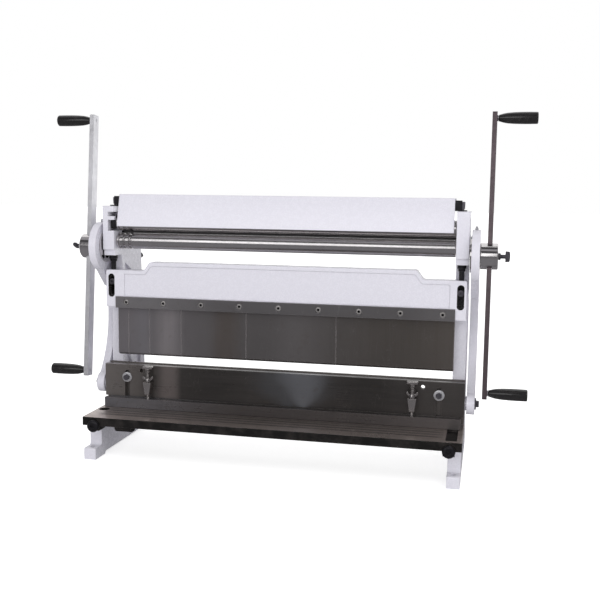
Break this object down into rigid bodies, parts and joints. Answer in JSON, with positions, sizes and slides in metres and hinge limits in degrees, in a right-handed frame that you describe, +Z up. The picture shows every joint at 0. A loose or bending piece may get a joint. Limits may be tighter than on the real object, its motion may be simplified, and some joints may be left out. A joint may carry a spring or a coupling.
{
  "type": "bench slip roll with shear and press brake",
  "caption": "Bench slip roll combined with a finger brake and a shear: forming rolls between cast side frames, a rising bed on link arms, and hand cranks at both ends.",
  "frame": {"origin": "on the floor, below the middle of the machine's overall box", "axes": "X along the rolls (right-hand end +X), Y from the operator's side to the back, Z up"},
  "size_m": [1.069, 0.352, 0.7577],
  "materials": {
    "white_paint": "glossy off-white machine paint on cast iron and sheet",
    "ground_iron": "ground, lightly oiled",
    "tool_steel": "ground",
    "die_steel": "dark brushed steel",
    "clamp_steel": "mid-grey, satin",
    "black_steel": "blackened steel, satin",
    "roll_steel": "turned and polished steel",
    "zinc": "zinc-plated, bright",
    "gear_steel": "machined, oiled",
    "brass": "turned",
    "black_plastic": "moulded, glossy"
  },
  "bodies": {
    "stand": {"left_side_frame": "white_paint", "right_side_frame": "white_paint", "tie_rods": "zinc", "tie_rod_screws": "black_steel", "table": "ground_iron", "lower_shear_blade": "tool_steel", "table_screws": "black_steel", "beam_bolts": "black_steel", "roll_cover": "white_paint", "cover_brackets": "black_steel", "lower_roll_bushes": "brass"},
    "upper_beam": {"upper_beam": "white_paint", "clamp_bar": "clamp_steel", "clamp_screws": "black_steel", "finger_die_1in": "die_steel", "finger_die_2in": "die_steel", "finger_die_3in": "die_steel", "finger_die_6in": "die_steel", "finger_die_8in": "die_steel", "finger_die_10in": "die_steel"},
    "jack_left": {"jack_screw_left": "black_steel"},
    "jack_right": {"jack_screw_right": "black_steel"},
    "bed": {"moving_beam": "ground_iron", "front_plate": "ground_iron", "upper_shear_blade": "tool_steel", "plate_bolts": "black_steel", "plate_washers": "zinc", "hold_down_brackets": "zinc", "link_arm_left": "white_paint", "link_arm_right": "white_paint", "pivot_bolts": "zinc", "oil_nipples": "brass", "eccentric_sheaves": "zinc"},
    "hold_down": {"hold_down_bar": "tool_steel", "hold_down_studs": "zinc", "hold_down_spring_left": "zinc", "hold_down_spring_right": "zinc"},
    "wing_left": {"wing_nut_left": "zinc"},
    "wing_right": {"wing_nut_right": "zinc"},
    "crank": {"lower_roll": "roll_steel", "lower_roll_gear": "gear_steel", "crank_hub_left": "roll_steel", "crank_hub_right": "roll_steel"},
    "lock_left": {"lock_screw_left": "zinc"},
    "lock_right": {"lock_screw_right": "zinc"},
    "bar_left": {"crank_bar_left": "zinc", "grip_bolts_left": "zinc"},
    "bar_right": {"crank_bar_right": "zinc", "grip_bolts_right": "zinc"},
    "grip_left_upper": {"grip_left_upper": "black_plastic"},
    "grip_left_lower": {"grip_left_lower": "black_plastic"},
    "grip_right_upper": {"grip_right_upper": "black_plastic"},
    "grip_right_lower": {"grip_right_lower": "black_plastic"},
    "upper_carriage": {"upper_roll_blocks": "gear_steel", "upper_roll_screws": "black_steel"},
    "upper_roll": {"upper_roll": "roll_steel", "upper_roll_gear": "gear_steel"},
    "rear_carriage": {"rear_roll_blocks": "gear_steel", "rear_roll_screws": "black_steel"},
    "rear_roll": {"rear_roll": "roll_steel"}
  },
  "joints": [
    {"name": "crank", "type": "hinge", "parent": "stand", "child": "crank", "pos_m": [0, -0.029, 0.474], "axis": [1, 0, 0], "continuous": true},
    {"name": "upper_roll_lift", "type": "slide", "parent": "stand", "child": "upper_carriage", "axis": [0, 0, 1], "range_m": [0, 0.003]},
    {"name": "upper_roll_turn", "type": "hinge", "parent": "upper_carriage", "child": "upper_roll", "pos_m": [0, -0.029, 0.515], "axis": [1, 0, 0], "continuous": true},
    {"name": "rear_roll_adjust", "type": "slide", "parent": "stand", "child": "rear_carriage", "axis": [0, -0.866, 0.5], "range_m": [-0.008, 0.008]},
    {"name": "rear_roll_turn", "type": "hinge", "parent": "rear_carriage", "child": "rear_roll", "pos_m": [0, 0.013, 0.49], "axis": [1, 0, 0], "continuous": true},
    {"name": "beam_adjust", "type": "slide", "parent": "stand", "child": "upper_beam", "axis": [0, 0, 1], "range_m": [0, 0.015]},
    {"name": "jack_screw_left_turn", "type": "hinge", "parent": "stand", "child": "jack_left", "pos_m": [-0.3915, -0.031, 0.42], "axis": [0, 0, 1], "continuous": true},
    {"name": "jack_screw_right_turn", "type": "hinge", "parent": "stand", "child": "jack_right", "pos_m": [0.3915, -0.031, 0.42], "axis": [0, 0, 1], "continuous": true},
    {"name": "bed_lift", "type": "slide", "parent": "stand", "child": "bed", "axis": [0, 0, 1], "range_m": [0, 0.028]},
    {"name": "hold_down_travel", "type": "slide", "parent": "bed", "child": "hold_down", "axis": [0, 0, 1], "range_m": [0, 0.01]},
    {"name": "wing_nut_left_turn", "type": "hinge", "parent": "hold_down", "child": "wing_left", "pos_m": [-0.298, -0.0626, 0.165], "axis": [0, 0, 1], "continuous": true},
    {"name": "wing_nut_right_turn", "type": "hinge", "parent": "hold_down", "child": "wing_right", "pos_m": [0.298, -0.0626, 0.165], "axis": [0, 0, 1], "continuous": true},
    {"name": "lock_screw_left_turn", "type": "hinge", "parent": "crank", "child": "lock_left", "pos_m": [-0.47, -0.029, 0.46], "axis": [1, 0, 0], "continuous": true},
    {"name": "lock_screw_right_turn", "type": "hinge", "parent": "crank", "child": "lock_right", "pos_m": [0.47, -0.029, 0.46], "axis": [1, 0, 0], "continuous": true},
    {"name": "bar_left_slide", "type": "slide", "parent": "crank", "child": "bar_left", "axis": [0, 0.0924, 0.9957], "range_m": [-0.1, 0.1]},
    {"name": "bar_right_slide", "type": "slide", "parent": "crank", "child": "bar_right", "axis": [0, 0.0924, 0.9957], "range_m": [-0.1, 0.1]},
    {"name": "grip_left_upper_spin", "type": "hinge", "parent": "bar_left", "child": "grip_left_upper", "pos_m": [-0.5, -0.00258, 0.74478], "axis": [1, 0, 0], "continuous": true},
    {"name": "grip_left_lower_spin", "type": "hinge", "parent": "bar_left", "child": "grip_left_lower", "pos_m": [-0.5, -0.05542, 0.17522], "axis": [1, 0, 0], "continuous": true},
    {"name": "grip_right_upper_spin", "type": "hinge", "parent": "bar_right", "child": "grip_right_upper", "pos_m": [0.5, -0.00258, 0.74478], "axis": [1, 0, 0], "continuous": true},
    {"name": "grip_right_lower_spin", "type": "hinge", "parent": "bar_right", "child": "grip_right_lower", "pos_m": [0.5, -0.05542, 0.17522], "axis": [1, 0, 0], "continuous": true}
  ],
  "couplings": [
    {"joint": "upper_roll_turn", "follows": "crank", "ratio": -1}
  ]
}
